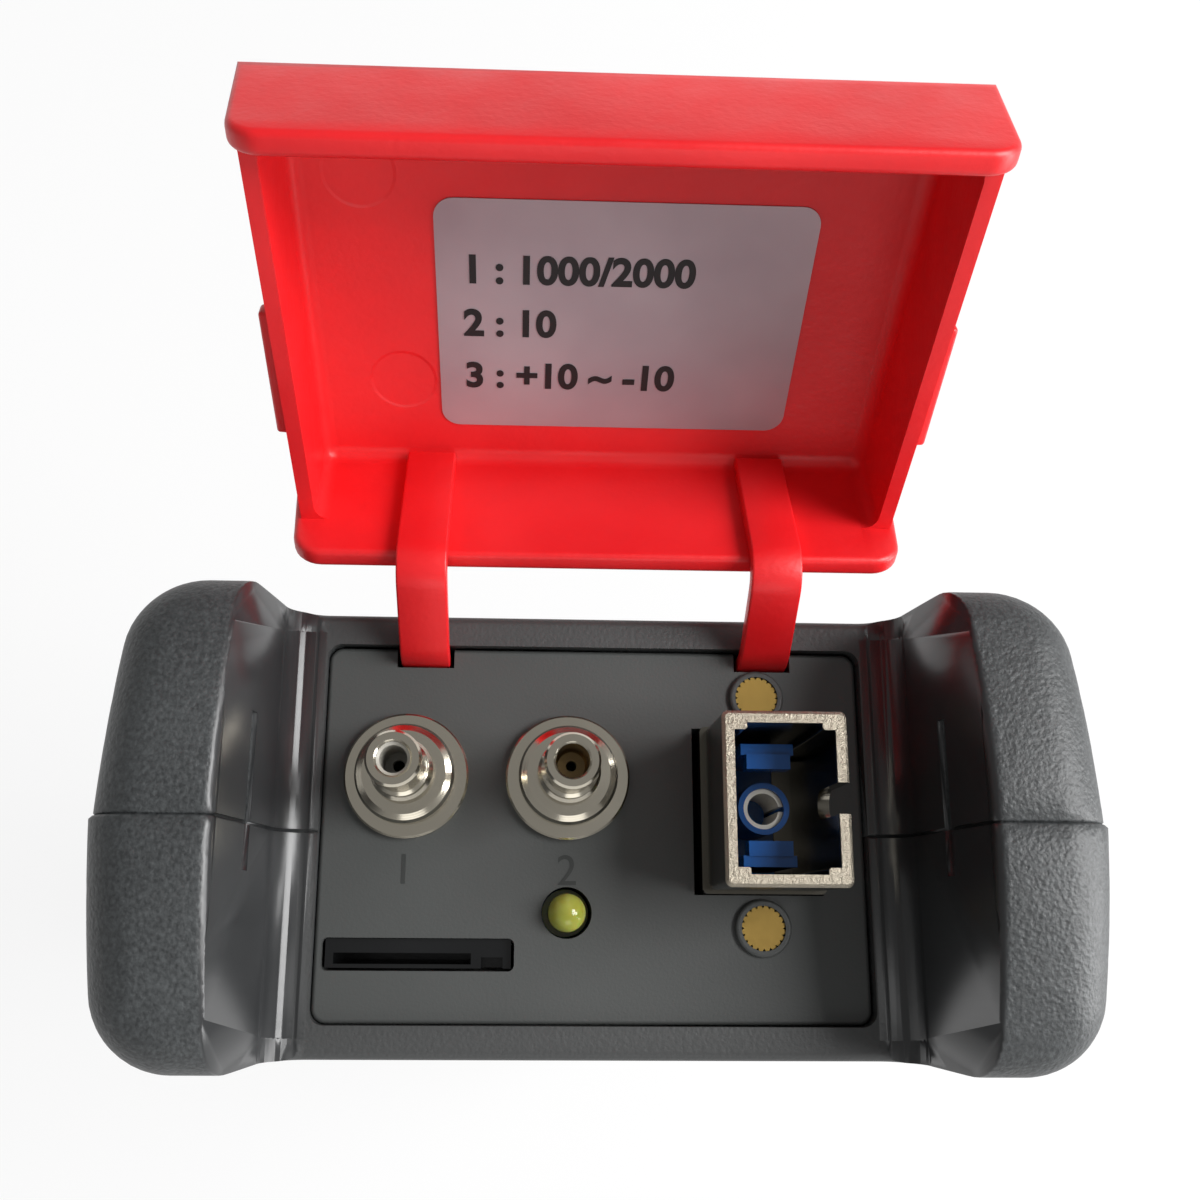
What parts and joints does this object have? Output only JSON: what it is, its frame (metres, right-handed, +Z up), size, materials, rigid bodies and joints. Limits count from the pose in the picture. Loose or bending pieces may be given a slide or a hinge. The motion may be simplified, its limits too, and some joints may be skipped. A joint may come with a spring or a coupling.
{
  "type": "optical time domain reflectometer",
  "caption": "Handheld fibre tester with a screen and keys, a port bay between two bumpers, ferrule ports, a square fibre port and a strapped dust cover.",
  "frame": {"origin": "middle of the flat base", "axes": "+Z up from the base to the ports, +Y to the rear, +X to the right seen from the screen"},
  "size_m": [0.0761, 0.0673, 0.1793],
  "materials": {
    "housing": "fine-grained moulded",
    "panel": "fine matte",
    "cover_red": "satin moulded",
    "nickel": "polished nickel plate",
    "port_nickel": "blasted nickel plate",
    "nut_steel": "machined",
    "insert_blue": "moulded",
    "ferrule_white": "ground",
    "insert_brass": "knurled",
    "lamp_lens": "clear tinted",
    "socket_black": "moulded",
    "screen_glass": "polished",
    "display_grey": "smooth",
    "sheet_metal": "stamped",
    "circuit_green": "solder mask",
    "key_rubber": "matte",
    "dome_sheet": "matte",
    "cell_wrap": "shrink-wrapped cell",
    "tray_black": "moulded",
    "optics_metal": "cast",
    "fibre_yellow": "coated fibre",
    "screw_steel": "blackened",
    "plug_green": "moulded"
  },
  "bodies": {
    "case": {"front_shell": "housing", "rear_shell": "housing", "battery_door": "housing", "port_panel": "panel", "insert_upper": "insert_brass", "insert_lower": "insert_brass", "sc_adapter": "port_nickel", "sc_latch_insert": "insert_blue", "split_sleeve": "ferrule_white", "pigtail_plug": "plug_green", "adapter_screws": "screw_steel", "port_one": "nickel", "port_two": "nickel", "port_one_nut": "nut_steel", "port_two_nut": "nut_steel", "fault_laser": "optics_metal", "meter_photodiode": "sheet_metal", "status_lamp": "lamp_lens", "card_socket": "socket_black", "strap_left": "cover_red", "strap_right": "cover_red", "touch_glass": "screen_glass", "display_module": "display_grey", "display_frame": "sheet_metal", "board_spacers": "nut_steel", "main_board": "circuit_green", "key_domes": "dome_sheet", "keypad_board": "circuit_green", "charge_socket": "sheet_metal", "buzzer": "socket_black", "door_screw": "screw_steel", "battery_tray": "tray_black", "battery_cells": "cell_wrap", "battery_contacts": "sheet_metal", "optics_module": "optics_metal", "fibre_tray": "tray_black", "fibre_coil": "fibre_yellow", "case_screws": "screw_steel"},
    "cover": {"dust_cover": "cover_red"},
    "back_key": {"key_back": "key_rubber"},
    "up_key": {"key_up": "key_rubber"},
    "menu_key": {"key_menu": "key_rubber"},
    "left_key": {"key_left": "key_rubber"},
    "enter_key": {"key_enter": "key_rubber"},
    "right_key": {"key_right": "key_rubber"},
    "power_key": {"key_power": "key_rubber"},
    "down_key": {"key_down": "key_rubber"},
    "test_key": {"key_test": "key_rubber"}
  },
  "joints": [
    {"name": "cover_hinge", "type": "hinge", "parent": "case", "child": "cover", "pos_m": [0, 0.02001, 0.14638], "axis": [1, 0, 0], "range_deg": [-25, 120.3], "deforming": ["strap_left", "strap_right"]},
    {"name": "back_key_press", "type": "slide", "parent": "case", "child": "back_key", "axis": [0, 1, 0], "range_m": [0, 0.0008], "stiffness_N_per_m": 1500, "springref_m": -0.0003},
    {"name": "up_key_press", "type": "slide", "parent": "case", "child": "up_key", "axis": [0, 1, 0], "range_m": [0, 0.0008], "stiffness_N_per_m": 1500, "springref_m": -0.0003},
    {"name": "menu_key_press", "type": "slide", "parent": "case", "child": "menu_key", "axis": [0, 1, 0], "range_m": [0, 0.0008], "stiffness_N_per_m": 1500, "springref_m": -0.0003},
    {"name": "left_key_press", "type": "slide", "parent": "case", "child": "left_key", "axis": [0, 1, 0], "range_m": [0, 0.0008], "stiffness_N_per_m": 1500, "springref_m": -0.0003},
    {"name": "enter_key_press", "type": "slide", "parent": "case", "child": "enter_key", "axis": [0, 1, 0], "range_m": [0, 0.0008], "stiffness_N_per_m": 1500, "springref_m": -0.0003},
    {"name": "right_key_press", "type": "slide", "parent": "case", "child": "right_key", "axis": [0, 1, 0], "range_m": [0, 0.0008], "stiffness_N_per_m": 1500, "springref_m": -0.0003},
    {"name": "power_key_press", "type": "slide", "parent": "case", "child": "power_key", "axis": [0, 1, 0], "range_m": [0, 0.0008], "stiffness_N_per_m": 1500, "springref_m": -0.0003},
    {"name": "down_key_press", "type": "slide", "parent": "case", "child": "down_key", "axis": [0, 1, 0], "range_m": [0, 0.0008], "stiffness_N_per_m": 1500, "springref_m": -0.0003},
    {"name": "test_key_press", "type": "slide", "parent": "case", "child": "test_key", "axis": [0, 1, 0], "range_m": [0, 0.0008], "stiffness_N_per_m": 1500, "springref_m": -0.0003}
  ]
}
